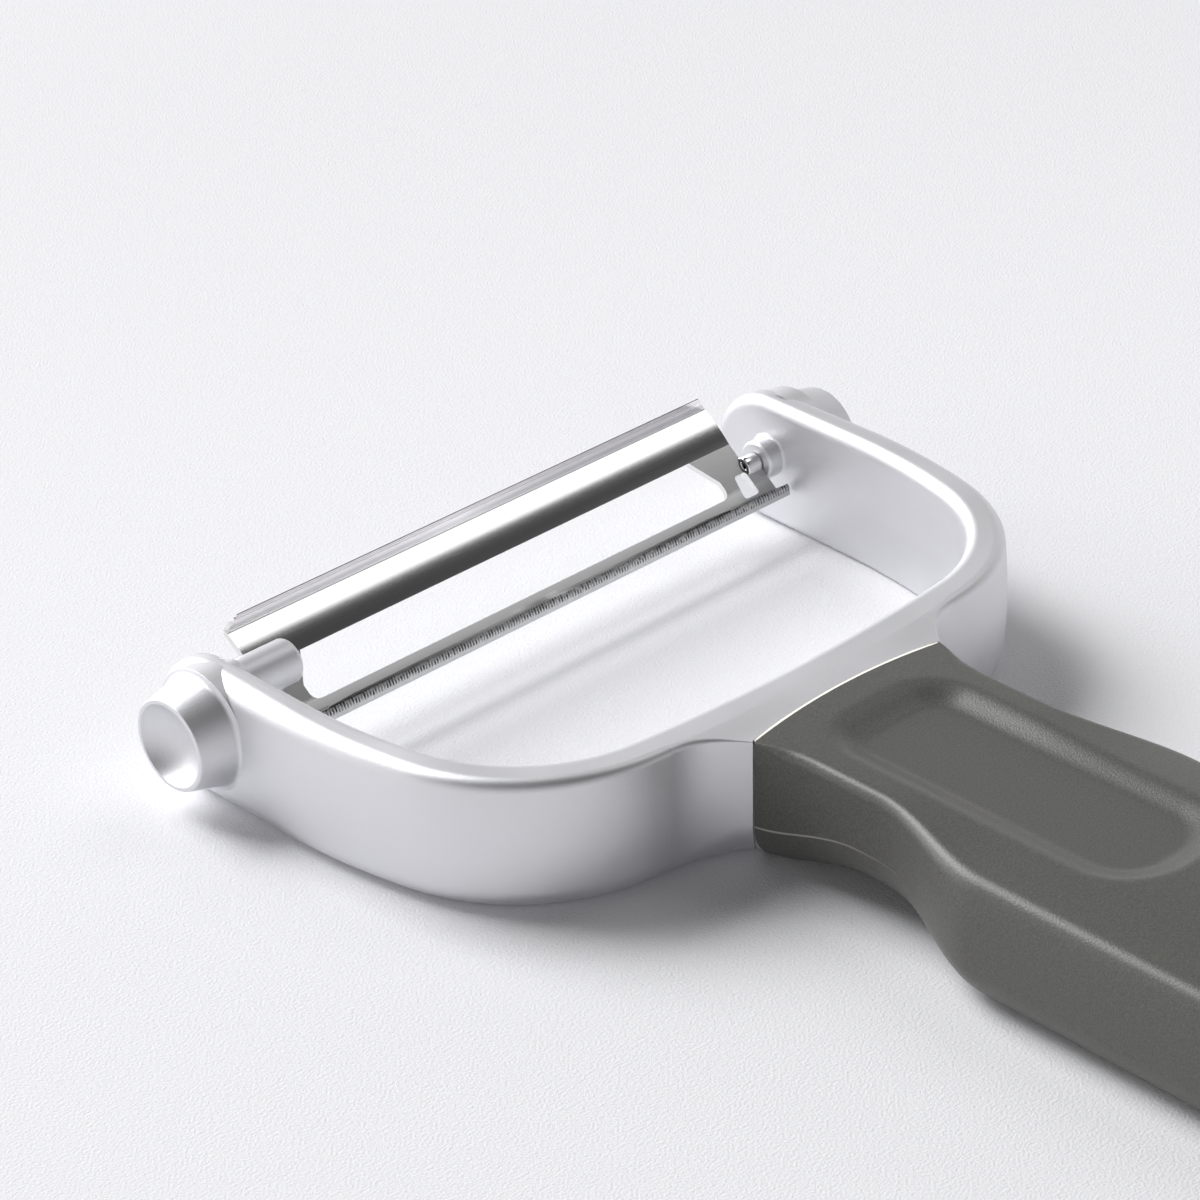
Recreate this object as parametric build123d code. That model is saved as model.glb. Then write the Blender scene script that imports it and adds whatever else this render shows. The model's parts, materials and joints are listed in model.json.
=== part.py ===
"""Y-shaped vegetable peeler with a free swivelling blade.

Every piece is drawn about the blade's pivot axis: +X runs along the axis from the left arm to the right
arm, +Y points away from the handle and +Z is up. At the end all pieces are lifted together, so that the
origin is the middle of the footprint, on the surface that the peeler lies on.
"""

import os
from math import asin, cos, degrees, radians, sin, sqrt

from build123d import *

# Overall sizes, in millimetres
overall_length = 155.0
overrun = 2.0
seat_depth = 0.8

# Frame casting: a band of constant width bent round the head
arm_gap = 57.6
band_width = 3.4
frame_height = 11.2
pivot_height = 6.3
pivot_to_tip = 6.3
arm_straight = 9.0
shoulder_radius = 46.0
shoulder_turn = 13.8
corner_radius = 12.8
brow_radius = 150.0
inner_edge_radius = 1.0
tip_edge_radius = 1.8
wall_crown = 0.35

# Neck of the casting and its joint with the handle
joint_bulge = 0.75
joint_gap = 0.15
neck_half_width = 10.0
flare_radius = 7.0
flare_end = 34.5
neck_fade = 1.6
neck_root = 1.5
joint_top_drop = 0.25
least_fall_share = 0.05
handle_bottom_share = 0.33
brow_bottom_share = 0.27
flare_shares = (0.0, 0.2, 0.4, 0.6, 0.8, 1.0, 1.1)

# Bosses and the stop nub on the arms
boss_base_radius = 4.5
boss_rim_radius = 3.73
boss_length = 3.15
boss_rim_width = 0.35
boss_rim_round = 0.12
dish_depth = 1.85
pivot_boss_radius = 1.75
pivot_boss_length = 1.6
pivot_boss_chamfer = 0.2
nub_radius = 1.8
nub_length = 5.2
nub_behind_axis = 0.42
nub_above_axis = 2.77
nub_end_round = 0.5

# Pivot pins
pin_radius = 0.45
pin_seat = 4.0
pin_reach = 1.4
pin_chamfer = 0.12
bore_relief = 0.1

# Blade, a strip bent to shape
blade_thickness = 0.5
blade_tilt = 38.0
blade_rise = 0.33
rail_end = 25.7
rail_front = 5.9
front_rail_width = 3.65
slot_width = 4.15
front_arch_rise = 0.14
rear_rail_width = 1.35
rear_rail_end = 28.4
lip_height = 1.36
lip_lean = 11.0
lip_end_cut = 0.9
flange_height = 0.75
flange_lean = 4.0
slot_half_length = 21.0
slot_end_bulge = 1.55
slot_corner_radius = 0.8
slot_end_share = 0.2
eye_wall = 0.4
eye_clearance = 0.05
eye_length = 1.4
crease_radius = 0.15
ridge_radius = 0.58
tail_step = 0.4
window_inner = 23.7
window_outer = 25.4
window_slant = 0.5
window_height = 1.5
window_drop = 0.7
window_corner_radius = 0.25

# Tang of the casting inside the handle
tang_width = 12.0
tang_thickness = 3.0
tang_length = 54.0
tang_end_radius = 4.0
keyhole_radius = 2.0
keyhole_first = 24.0
keyhole_spacing = 18.0

# Soft grip
grip_half_width = 12.9
grip_waist = 0.75
grip_swell = 1.7
grip_side_bulge = 0.85
grip_side_flat = 0.03
grip_ridge_drop = 0.8
grip_ridge_radius = 1.6
grip_joint_ridge_radius = 0.15
grip_scallop_share = 0.174
waist_shares = (-0.04, 0.05, 0.1, 0.205)
swell_shares = (0.1, 0.205)
scallop_shares = (0.0, 0.085, 0.13, 0.215)
station_start_share = -0.0192
station_step_share = 0.016
station_count = 20
recess_half_width = 6.3
recess_start = 2.5
recess_length = 30.0
recess_depth = 1.3
recess_front_radius = 4.0
recess_rear_radius = 5.5
recess_floor_radius = 1.0
hanging_hole_radius = 4.0
hanging_hole_from_end = 9.5

# Core of the handle
core_height = 5.3
core_front_half_width = 7.3
core_half_width = 10.4
core_cover = 1.9
core_shoulder_start = 14.0
core_shoulder_length = 9.0
core_bridge = 5.0

# Rounding of the band's outer edges along its path. Each row holds shares: the place along the path, then
# the upper and the lower rounding, of the rounding at the arm's tip.
edge_shares = [
    (0.00, 1.00, 1.00),
    (0.20, 1.00, 1.10),
    (0.42, 0.94, 1.15),
    (0.60, 0.70, 1.15),
    (0.76, 0.40, 1.15),
    (1.00, 0.33, 1.15),
]

# Derived places, about the pivot axis
arm_inner = arm_gap / 2
arm_outer = arm_inner + band_width
floor_z = -pivot_height
top_z = frame_height - pivot_height
grip_top = top_z
middle_z = (top_z + floor_z) / 2
handle_bottom_radius = handle_bottom_share * frame_height
brow_bottom_radius = brow_bottom_share * frame_height
grip_scallop = grip_scallop_share * frame_height
tip_y = pivot_to_tip - frame_height / 2
turn = radians(shoulder_turn)
corner_x = arm_inner - shoulder_radius + (shoulder_radius - corner_radius) * cos(turn)
corner_y = -arm_straight - (shoulder_radius - corner_radius) * sin(turn)
brow_centre_y = corner_y + sqrt((brow_radius - corner_radius) ** 2 - corner_x**2)
brow_turn = degrees(asin(corner_x / (brow_radius - corner_radius)))
flare_x = neck_half_width + flare_radius * cos(radians(flare_end))
flare_y = brow_centre_y - sqrt((brow_radius + band_width + flare_radius) ** 2 - flare_x**2)
joint_y = flare_y + flare_radius * sin(radians(flare_end))
handle_end_y = pivot_to_tip - overall_length
handle_length = joint_y - handle_end_y
end_centre_y = handle_end_y + grip_half_width
end_centre_share = (joint_y - end_centre_y) / handle_length
grip_end_growth = grip_half_width - neck_half_width - grip_side_flat - grip_swell - grip_side_bulge
pivot_boss_face = arm_inner - pivot_boss_length
slot_front_along = rail_front - front_rail_width
slot_rear_along = slot_front_along - slot_width
ridge_along = slot_rear_along - rear_rail_width
tail_along = slot_rear_along - tail_step
eye_end = rail_end + eye_length
core_middle_z = grip_top - recess_depth - core_cover / 2 - core_height / 2
core_start_y = joint_y - core_cover
hole_y = handle_end_y + hanging_hole_from_end
core_end_y = hole_y + hanging_hole_radius + core_bridge
rest_position = Location((0, overall_length / 2 - pivot_to_tip, pivot_height))


def blade_point(along, above):
    """Point at a distance along the tilted strip from the axis and above its middle, as (Y, Z)."""
    tilt = radians(blade_tilt)
    return (along * cos(tilt) - above * sin(tilt), along * sin(tilt) + above * cos(tilt))


def corners(shape, chosen):
    """Vertices of a flat shape that pass a test."""
    return ShapeList([point for point in shape.vertices() if chosen(point)])


def both_sides(piece):
    """The piece together with its mirror image across the middle plane."""
    return piece + mirror(piece, about=Plane.YZ)


def band_section(upper_share=1.0, lower_share=1.0, upper_half=False):
    """Cross-section of the band: flat inside, crowned outside, with rounded edges."""
    half = frame_height / 2
    wall = band_width - wall_crown
    outline = (
        Line((wall, -half), (0, -half))
        + Line((0, -half), (0, half))
        + Line((0, half), (wall, half))
        + ThreePointArc((wall, half), (band_width, 0), (wall, -half))
    )
    section = make_face(outline)
    section = fillet(corners(section, lambda point: point.X < wall / 2), inner_edge_radius)
    upper = corners(section, lambda point: point.X > wall - wall_crown and point.Y > 0)
    section = fillet(upper, upper_share * tip_edge_radius)
    lower = corners(section, lambda point: point.X > wall - wall_crown and point.Y < 0)
    section = fillet(lower.sort_by(Axis.X)[-1:], lower_share * tip_edge_radius)
    if upper_half:
        section &= Rectangle(frame_height, frame_height, align=(Align.CENTER, Align.MIN))
    return section


def band_path():
    """Inner wall line of the right half of the head, from the arm's tip to the middle of the brow."""
    arm = Line((arm_inner, tip_y, middle_z), (arm_inner, -arm_straight, middle_z))
    shoulder = JernArc(arm @ 1, arm % 1, shoulder_radius, -shoulder_turn)
    corner = JernArc(shoulder @ 1, shoulder % 1, corner_radius, shoulder_turn + brow_turn - 90)
    brow = JernArc(corner @ 1, corner % 1, brow_radius, -brow_turn)
    return Wire([arm.edge(), shoulder.edge(), corner.edge(), brow.edge()])


def frame_band():
    """The bent band with its two round arm tips."""
    path = band_path()
    sections = []
    for place, upper_share, lower_share in edge_shares:
        along = path % place
        plane = Plane(origin=path @ place, x_dir=(-along.Y, along.X, 0), z_dir=along)
        sections.append(plane * band_section(upper_share, lower_share))
    half = sweep(sections, path=path, multisection=True)
    tip_plane = Plane(origin=path @ 0, x_dir=(1, 0, 0), z_dir=(0, -1, 0))
    tip_axis = Axis((0, tip_y, middle_z), (-1, 0, 0))
    tip = revolve(tip_plane * band_section(upper_half=True), tip_axis, 180)
    return both_sides(half + tip)


def joint_region(offset):
    """Plan region ahead of the joint's curved face, moved forward by the offset, as a tall block."""
    centre = (0, joint_y + joint_bulge + offset)
    left = (-neck_half_width, joint_y + offset)
    right = (neck_half_width, joint_y + offset)
    reach = arm_outer
    edges = (
        Line((-reach, joint_y + offset), left)
        + ThreePointArc(left, centre, right)
        + Line(right, (reach, joint_y + offset))
        + Line((reach, joint_y + offset), (reach, pivot_to_tip))
        + Line((reach, pivot_to_tip), (-reach, pivot_to_tip))
        + Line((-reach, pivot_to_tip), (-reach, joint_y + offset))
    )
    return extrude(Plane.XY.offset(floor_z - overrun) * make_face(edges), frame_height + 2 * overrun)


def neck_section(y, half_width, share):
    """Section of the neck: crowned top, sharp upper corners and round lower ones, at a share of the flare."""
    plane = Plane(origin=(0, y, 0), x_dir=(1, 0, 0), z_dir=(0, -1, 0))
    corner_z = top_z - max(share, least_fall_share) * joint_top_drop
    outline = (
        Line((half_width, corner_z), (half_width, floor_z))
        + Line((half_width, floor_z), (-half_width, floor_z))
        + Line((-half_width, floor_z), (-half_width, corner_z))
        + ThreePointArc((-half_width, corner_z), (0, top_z), (half_width, corner_z))
    )
    section = make_face(outline)
    bottom_radius = brow_bottom_radius + share * (handle_bottom_radius - brow_bottom_radius)
    return plane * fillet(corners(section, lambda point: point.Y < middle_z), bottom_radius)


def neck():
    """Short neck whose sides leave the brow on circles, long enough to be cut to the joint's curved face."""
    sections = [neck_section(flare_y + flare_radius + neck_root, flare_x + neck_fade, 0)]
    for share in flare_shares:
        angle = radians(90 - share * (90 - flare_end))
        half_width = flare_x - flare_radius * cos(angle)
        sections.append(neck_section(flare_y + flare_radius * sin(angle), half_width, share))
    return loft(sections)


def outer_boss():
    """Dished boss outside the right arm."""
    base = arm_outer - seat_depth
    rim = arm_outer + boss_length
    lip = boss_rim_radius - boss_rim_width
    dish_radius = (lip**2 + dish_depth**2) / (2 * dish_depth)
    middle = (rim - dish_depth + dish_radius - sqrt(dish_radius**2 - lip**2 / 4), lip / 2)
    outline = (
        Line((rim - dish_depth, 0), (base, 0))
        + Line((base, 0), (base, boss_base_radius))
        + Line((base, boss_base_radius), (arm_outer, boss_base_radius))
        + Line((arm_outer, boss_base_radius), (rim, boss_rim_radius))
        + Line((rim, boss_rim_radius), (rim, lip))
        + ThreePointArc((rim, lip), middle, (rim - dish_depth, 0))
    )
    section = make_face(outline)
    rim_corners = section.vertices().filter_by_position(Axis.X, rim, rim)
    return revolve(fillet(rim_corners, boss_rim_round), Axis.X)


def rod(start, end, radius, y=0.0, z=0.0):
    """Round bar parallel to the pivot axis between two X places."""
    plane = Plane(origin=(start, y, z), z_dir=(1, 0, 0))
    return extrude(plane * Circle(radius), end - start)


def tang():
    """Flat tang behind the joint, with two holes that the core fills."""
    length = tang_length + flare_radius / 2
    plan = Rectangle(tang_width, length, align=(Align.CENTER, Align.MAX))
    back = plan.vertices().filter_by_position(Axis.Y, -length, -length)
    plan = fillet(back, tang_end_radius)
    for number in range(2):
        hole_y = flare_radius / 2 - keyhole_first - number * keyhole_spacing
        plan -= Pos(0, hole_y) * Circle(keyhole_radius)
    lower = Plane(origin=(0, joint_y + flare_radius / 2, core_middle_z - tang_thickness / 2))
    return extrude(lower * plan, tang_thickness)


def frame_casting():
    """The whole casting."""
    neck_and_tang = (neck() & joint_region(joint_gap)) + tang()
    frame = frame_band() + neck_and_tang
    frame += both_sides(outer_boss())
    boss = rod(pivot_boss_face, arm_inner + seat_depth, pivot_boss_radius)
    tip_edge = boss.edges().filter_by_position(Axis.X, pivot_boss_face, pivot_boss_face)
    boss = chamfer(tip_edge, pivot_boss_chamfer)
    frame += both_sides(boss)
    nub_end = nub_length - arm_inner
    nub = rod(-arm_inner - seat_depth, nub_end, nub_radius, -nub_behind_axis, nub_above_axis)
    nub_edge = nub.edges().filter_by_position(Axis.X, nub_end, nub_end)
    frame += fillet(nub_edge, nub_end_round)
    bore = rod(pivot_boss_face - overrun, pivot_boss_face + pin_seat + bore_relief, pin_radius)
    return frame - both_sides(bore)


def pivot_pin(side):
    """Steel pin of one arm: side is 1 for the right arm and -1 for the left."""
    pin = rod(pivot_boss_face - pin_reach, pivot_boss_face + pin_seat, pin_radius)
    ends = pin.edges().filter_by(GeomType.CIRCLE)
    pin = chamfer(ends, pin_chamfer)
    return pin if side > 0 else mirror(pin, about=Plane.YZ)


def blade_spine():
    """Upper line of the bent strip's section: lip, arched front rail, flat web, ridge and flange."""
    crease = blade_point(rail_front, blade_rise)
    slot_front = blade_point(slot_front_along, blade_rise)
    arch = blade_point(rail_front - front_rail_width / 2, blade_rise + front_arch_rise)
    ridge = blade_point(ridge_along, blade_rise)
    lip_top = lip_point(lip_height)
    drop = radians(flange_lean)
    flange_end = (ridge[0] - flange_height * sin(drop), ridge[1] - flange_height * cos(drop))
    bends = Wire(
        [
            Line(lip_top, crease).edge(),
            ThreePointArc(crease, arch, slot_front).edge(),
            Line(slot_front, ridge).edge(),
            Line(ridge, flange_end).edge(),
        ]
    )
    bends = bends.fillet_2d(crease_radius, nearest(bends, crease))
    return bends.fillet_2d(ridge_radius, nearest(bends, ridge))


def nearest(wire, point):
    """The vertex of a flat wire that lies at a point."""
    return wire.vertices().sort_by_distance((point[0], point[1], 0))[:1]


def lip_point(height):
    """Point on the upper face of the lip at a height above the crease, as (Y, Z)."""
    crease = blade_point(rail_front, blade_rise)
    lean = radians(lip_lean)
    return (crease[0] - height * sin(lean), crease[1] + height * cos(lean))


def blade_plan():
    """Outline of the strip seen square to its face: X across and the distance from the axis along Y."""
    far = rail_front + lip_height
    right = Polyline(
        (0, far),
        (rail_end, far),
        (rail_end, 0),
        (eye_end, 0),
        (eye_end, tail_along),
        (rear_rail_end, tail_along),
        (rear_rail_end, -far),
        (0, -far),
        close=True,
    )
    plan = both_sides(make_face(right))
    slot = Polyline(
        (0, slot_front_along),
        (slot_half_length, slot_front_along),
        (slot_half_length + slot_end_bulge, slot_end_share * slot_rear_along),
        (slot_half_length + slot_end_bulge, slot_rear_along),
        (0, slot_rear_along),
        close=True,
    )
    slot = make_face(slot)
    end = corners(slot, lambda point: point.X > slot_half_length and point.Y < 0)
    plan -= both_sides(fillet(end, slot_corner_radius))
    window = Polyline(
        (window_inner, slot_rear_along - window_drop),
        (window_outer, slot_rear_along - window_drop),
        (window_outer, slot_rear_along + window_height),
        (window_inner + window_slant, slot_rear_along + window_height),
        close=True,
    )
    window = make_face(window)
    return plan - both_sides(fillet(window.vertices(), window_corner_radius))


def lip_end_cutter():
    """Wedge that takes the corner off the right end of the lip."""
    crease = lip_point(0)
    lean = radians(lip_lean)
    plane = Plane(origin=(0, crease[0], crease[1]), x_dir=(1, 0, 0), z_dir=(0, -cos(lean), -sin(lean)))
    wedge = Polyline(
        (rail_end, 0),
        (rail_end - lip_end_cut, lip_height),
        (rail_end - lip_end_cut, lip_height + overrun),
        (rail_end + overrun, lip_height + overrun),
        (rail_end + overrun, 0),
        close=True,
    )
    return extrude(plane * make_face(wedge), blade_thickness + overrun, both=True)


def peeling_blade():
    """The bent, slotted strip with a rolled eye at each end."""
    across = Plane(origin=(0, 0, 0), x_dir=(0, 1, 0), z_dir=(1, 0, 0))
    section = offset(blade_spine(), amount=blade_thickness, side=Side.LEFT, closed=True)
    strip = extrude(across * make_face(section), rear_rail_end, both=True)
    tilt = radians(blade_tilt)
    square = Plane(origin=(0, 0, 0), x_dir=(1, 0, 0), z_dir=(0, -sin(tilt), cos(tilt)))
    strip &= extrude(square * blade_plan(), rail_front, both=True)
    strip -= both_sides(lip_end_cutter())
    eye = rod(rail_end, eye_end, pin_radius + eye_clearance + eye_wall)
    hole = rod(rail_end, eye_end + overrun, pin_radius + eye_clearance)
    return strip + both_sides(eye) - both_sides(hole)


def ease(place, start, end):
    """Smooth step from 0 at the start to 1 at the end."""
    step = min(max((place - start) / (end - start), 0), 1)
    return step * step * (3 - 2 * step)


def grip_outline(place):
    """Flat outline of the grip's section at a share of the handle's length, X across and Z up."""
    swell = ease(place, *swell_shares)
    already = ease(0, *waist_shares[:2])
    waist = (ease(place, *waist_shares[:2]) - already) / (1 - already) - ease(place, *waist_shares[2:])
    scallop = ease(place, *scallop_shares[:2]) - ease(place, *scallop_shares[2:])
    taper = min(max((place - swell_shares[1]) / (end_centre_share - swell_shares[1]), 0), 1)
    widest = neck_half_width + grip_side_flat - grip_waist * waist
    widest += (grip_swell + grip_side_bulge) * swell + grip_end_growth * taper
    ridge = widest - grip_side_flat - grip_side_bulge * swell
    ridge_z = grip_top - joint_top_drop - grip_ridge_drop * swell
    bottom = floor_z + grip_scallop * scallop
    widest_z = (ridge_z + bottom) / 2
    ridge_radius = grip_joint_ridge_radius + (grip_ridge_radius - grip_joint_ridge_radius) * swell
    outline = (
        ThreePointArc((-ridge, ridge_z), (0, grip_top), (ridge, ridge_z))
        + ThreePointArc((ridge, ridge_z), (widest, widest_z), (ridge, bottom))
        + Line((ridge, bottom), (-ridge, bottom))
        + ThreePointArc((-ridge, bottom), (-widest, widest_z), (-ridge, ridge_z))
    )
    section = make_face(outline)
    section = fillet(corners(section, lambda point: point.Y < widest_z), handle_bottom_radius)
    return fillet(corners(section, lambda point: point.Y > widest_z), ridge_radius)


def upright(y):
    """Plane square to the handle at one place, with X across and Z up."""
    return Plane(origin=(0, y, 0), x_dir=(1, 0, 0), z_dir=(0, -1, 0))


def grip_body():
    """Outer shape of the handle: a shaped front, a slightly widening run and a round end."""
    places = [station_start_share + number * station_step_share for number in range(station_count)]
    stations = [upright(joint_y - place * handle_length) * grip_outline(place) for place in places]
    last = grip_outline(end_centre_share)
    run = loft([stations[-1], upright(end_centre_y) * last], ruled=True)
    right_half = last & Rectangle(overall_length, overall_length, align=(Align.MIN, Align.CENTER))
    end_axis = Axis((0, end_centre_y, 0), (0, 0, -1))
    end = revolve(upright(end_centre_y) * right_half, end_axis, 180)
    return loft(stations) + run + end


def recess_cutter():
    """Block that cuts the thumb recess, with a rounded floor edge."""
    plan = Pos(0, joint_y - recess_start) * Rectangle(
        2 * recess_half_width, recess_length, align=(Align.CENTER, Align.MAX)
    )
    middle = joint_y - recess_start - recess_length / 2
    plan = fillet(corners(plan, lambda point: point.Y > middle), recess_front_radius)
    plan = fillet(corners(plan, lambda point: point.Y < middle - recess_half_width), recess_rear_radius)
    floor = grip_top - recess_depth
    block = extrude(Plane.XY.offset(floor) * plan, recess_depth + overrun)
    floor_edges = block.edges().group_by(Axis.Z)[0]
    return fillet(floor_edges, recess_floor_radius)


def core_block():
    """Hard core moulded round the tang, before the tang's room is taken out."""
    shoulder_y = joint_y - core_shoulder_start
    wide_y = shoulder_y - core_shoulder_length
    right = Polyline(
        (0, core_start_y),
        (core_front_half_width, core_start_y),
        (core_front_half_width, shoulder_y),
        (core_half_width, wide_y),
        (core_half_width, core_end_y),
        (0, core_end_y),
        close=True,
    )
    return extrude(Plane.XY.offset(core_middle_z) * both_sides(make_face(right)), core_height / 2, both=True)


def soft_grip():
    """Soft skin of the handle with the thumb recess and the hanging hole."""
    hole = Pos(0, hole_y, middle_z) * Cylinder(hanging_hole_radius, frame_height + 2 * overrun)
    grip = grip_body() - joint_region(0) - recess_cutter()
    return grip - core_block() - tang() - hole


def handle_core():
    """Hard core of the handle."""
    return core_block() - tang()


def main():
    """Build every piece and write it where it rests."""
    os.makedirs("parts", exist_ok=True)
    pieces = {
        "frame_casting": frame_casting(),
        "peeling_blade": peeling_blade(),
        "pivot_pin_left": pivot_pin(-1),
        "pivot_pin_right": pivot_pin(1),
        "handle_core": handle_core(),
        "soft_grip": soft_grip(),
    }
    for name, piece in pieces.items():
        export_step(rest_position * piece, f"parts/{name}.step")


if __name__ == "__main__":
    main()
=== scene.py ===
# %% [markdown]
# A vegetable peeler on a pale table. The real tool is a satin metal casting shaped like a Y, a bright steel
# blade that swivels between the arms, and a soft dark handle with a hollow for the thumb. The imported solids
# are the frame of this scene: every piece below is drawn in millimetres about the blade's pivot axis and is
# then moved to the place that the frame gives for that axis.

import json
from math import asin, cos, degrees, radians, sin, sqrt

import bmesh
import bpy
import numpy as np
from mathutils import Matrix, Vector


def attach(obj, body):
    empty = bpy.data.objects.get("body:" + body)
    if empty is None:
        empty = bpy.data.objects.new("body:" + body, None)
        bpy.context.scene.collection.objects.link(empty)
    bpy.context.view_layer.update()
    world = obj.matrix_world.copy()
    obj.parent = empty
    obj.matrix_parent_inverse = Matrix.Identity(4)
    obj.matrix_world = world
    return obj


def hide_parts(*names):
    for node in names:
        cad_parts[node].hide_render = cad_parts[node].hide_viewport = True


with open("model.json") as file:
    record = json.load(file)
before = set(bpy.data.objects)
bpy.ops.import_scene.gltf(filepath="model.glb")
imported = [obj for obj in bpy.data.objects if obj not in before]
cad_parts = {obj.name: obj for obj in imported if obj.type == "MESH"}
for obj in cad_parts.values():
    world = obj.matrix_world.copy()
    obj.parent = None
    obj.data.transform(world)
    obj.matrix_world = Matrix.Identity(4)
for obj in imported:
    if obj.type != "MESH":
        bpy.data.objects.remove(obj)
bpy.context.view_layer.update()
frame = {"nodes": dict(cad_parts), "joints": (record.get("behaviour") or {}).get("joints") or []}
pivot = np.array(frame["joints"][0]["pos_m"])

# %% [markdown]
# Each surface is a grid: rows of points along one parameter and columns along the other, worked out as whole
# arrays. Neighbouring points are joined by four-sided faces. A row or column direction that closes on itself,
# such as the way round a tube, joins its last line to its first.

# %% Units and limits
MILLIMETRE = 0.001
# Points closer together than this, in millimetres, become one.
WELD = 0.002
# A corner whose half angle in radians is above this is nearly straight and stays as it is.
MOST_HALF_ANGLE = 1.56
# Points over each rounded edge and over each straight wall of a section.
bend_steps = 13
wall_steps = 9
print("points within", WELD, "mm are joined")

# %% Grids, mirrored and joined


def grid(points, close_rows=False, close_columns=False):
    """Points of shape (rows, columns, 3) and the four-sided faces between neighbours, as flat arrays."""
    rows, columns = points.shape[:2]
    index = np.arange(rows * columns).reshape(rows, columns)
    if close_rows:
        index = np.vstack([index, index[:1]])
    if close_columns:
        index = np.hstack([index, index[:, :1]])
    corners = [index[:-1, :-1], index[1:, :-1], index[1:, 1:], index[:-1, 1:]]
    return points.reshape(-1, 3), np.stack(corners, axis=-1).reshape(-1, 4)


def mirrored(shell):
    """The same shell on the other side of the middle plane: x changes sign and the faces turn round."""
    points, faces = shell
    return points * (-1, 1, 1), faces[:, ::-1]


def together(shells):
    """Several shells as one list of points and faces. The faces of each shell count on from the points
    before it."""
    starts = np.cumsum([0] + [len(points) for points, _ in shells[:-1]])
    faces = [faces + start for (_, faces), start in zip(shells, starts)]
    return np.concatenate([points for points, _ in shells]), np.concatenate(faces)


# %% Finished pieces


def weld_and_turn(mesh):
    """Join points that fall together, drop faces with no area and turn all faces outwards."""
    work = bmesh.new()
    work.from_mesh(mesh)
    bmesh.ops.remove_doubles(work, verts=work.verts, dist=WELD * MILLIMETRE)
    bmesh.ops.dissolve_degenerate(work, edges=work.edges, dist=WELD * MILLIMETRE)
    bmesh.ops.recalc_face_normals(work, faces=work.faces)
    work.to_mesh(mesh)
    work.free()


def finished(name, shells, body, replaced, sharp_degrees=35):
    """A piece from its shells: welded, faces outwards, smooth except across edges sharper than the angle."""
    points, faces = together(shells)
    mesh = bpy.data.meshes.new(name)
    mesh.from_pydata(points * MILLIMETRE + pivot, [], faces)
    weld_and_turn(mesh)
    mesh.shade_smooth()
    mesh.set_sharp_from_angle(angle=radians(sharp_degrees))
    piece = bpy.data.objects.new(name, mesh)
    bpy.context.scene.collection.objects.link(piece)
    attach(piece, body)
    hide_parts(*replaced)
    print(name, len(mesh.vertices), "points", len(mesh.polygons), "faces")
    return piece


# %% Eased places, turned profiles and rounded corners


def eased(count):
    """Places from 0 to 1 that crowd at both ends: (1 - cos(pi t)) / 2, so that a flat face beside a rounded
    edge keeps an even shade."""
    return (1 - np.cos(np.pi * np.linspace(0, 1, count))) / 2


def ease(place, start, end):
    """Smooth step from 0 at the start to 1 at the end: t^2 (3 - 2 t)."""
    step = np.clip((place - start) / (end - start), 0, 1)
    return step * step * (3 - 2 * step)


def turned(profile, count, centre=(0.0, 0.0)):
    """A profile of (x, radius) pairs carried round a line along X through (y, z). Y and z are the radius
    times the sine and the cosine of the turn."""
    turn = np.linspace(0, 2 * np.pi, count, endpoint=False)[:, None]
    x = np.broadcast_to(profile[:, 0], (count, len(profile)))
    y = centre[0] + profile[:, 1] * np.sin(turn)
    z = centre[1] + profile[:, 1] * np.cos(turn)
    return grid(np.stack([x, y, z], axis=-1), close_rows=True)


def rounded(points, radii, count=7):
    """An open line of corners with each inner corner rounded. The arc starts and ends at
    radius / tan(half the corner's angle) from the corner, and bends between the two on a circle."""
    points = np.asarray(points, float)
    line = [points[:1]]
    for before, corner, after, radius in zip(points, points[1:], points[2:], radii):
        back, ahead = before - corner, after - corner
        back, ahead = back / np.linalg.norm(back), ahead / np.linalg.norm(ahead)
        half = np.arccos(np.clip(back @ ahead, -1, 1)) / 2
        if radius == 0 or half > MOST_HALF_ANGLE:
            line.append(corner[None])
            continue
        middle = (back + ahead) / np.linalg.norm(back + ahead)
        centre = corner + middle * radius / np.sin(half)
        start, end = corner + back * radius / np.tan(half), corner + ahead * radius / np.tan(half)
        share = np.linspace(0, 1, count)[:, None]
        sweep = np.pi - 2 * half
        first, last = (start - centre) / radius, (end - centre) / radius
        mixed = np.sin((1 - share) * sweep) * first + np.sin(share * sweep) * last
        line.append(centre + radius * mixed / np.sin(sweep))
    line.append(points[-1:])
    return np.concatenate(line)


# %% [markdown]
# The head is one band of metal bent round the blade: straight arms, gentle shoulders, tight corners and a
# slightly bowed brow. Its inner wall is flat and its outer wall is crowned, with rounded edges. A bevelled
# curve object could follow the same line, but it would keep one section all the way. Here the rounding of the
# upper edge falls from the arm to the brow, as it does on the casting.

# %% Sizes of the head
arm_gap = 57.6
band_width = 3.4
frame_height = 11.2
pivot_height = 6.3
pivot_to_tip = 6.3
arm_straight = 9.0
shoulder_radius = 46.0
shoulder_turn = 13.8
corner_radius = 12.8
brow_radius = 150.0
inner_edge_radius = 1.0
lower_inner_radius = 0.4
lower_inner_place = 0.25
tip_edge_radius = 1.8
wall_crown = 0.35
arm_rows = 20
tip_rows = 49
# Places along the line from the arm's tip to the middle of the brow, and the radius of each edge there.
edge_places = np.array([0.0, 0.20, 0.42, 0.60, 0.76, 1.0])
upper_edges = tip_edge_radius * np.array([1.0, 0.80, 0.64, 0.50, 0.38, 0.33])
lower_edges = tip_edge_radius * np.array([1.0, 1.10, 1.15, 1.15, 1.15, 1.15])
neck_half_width = 10.0
# The neck's top covers the band's top by this much, so that no edge shows where the two meet.
HAIR = 0.002

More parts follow.
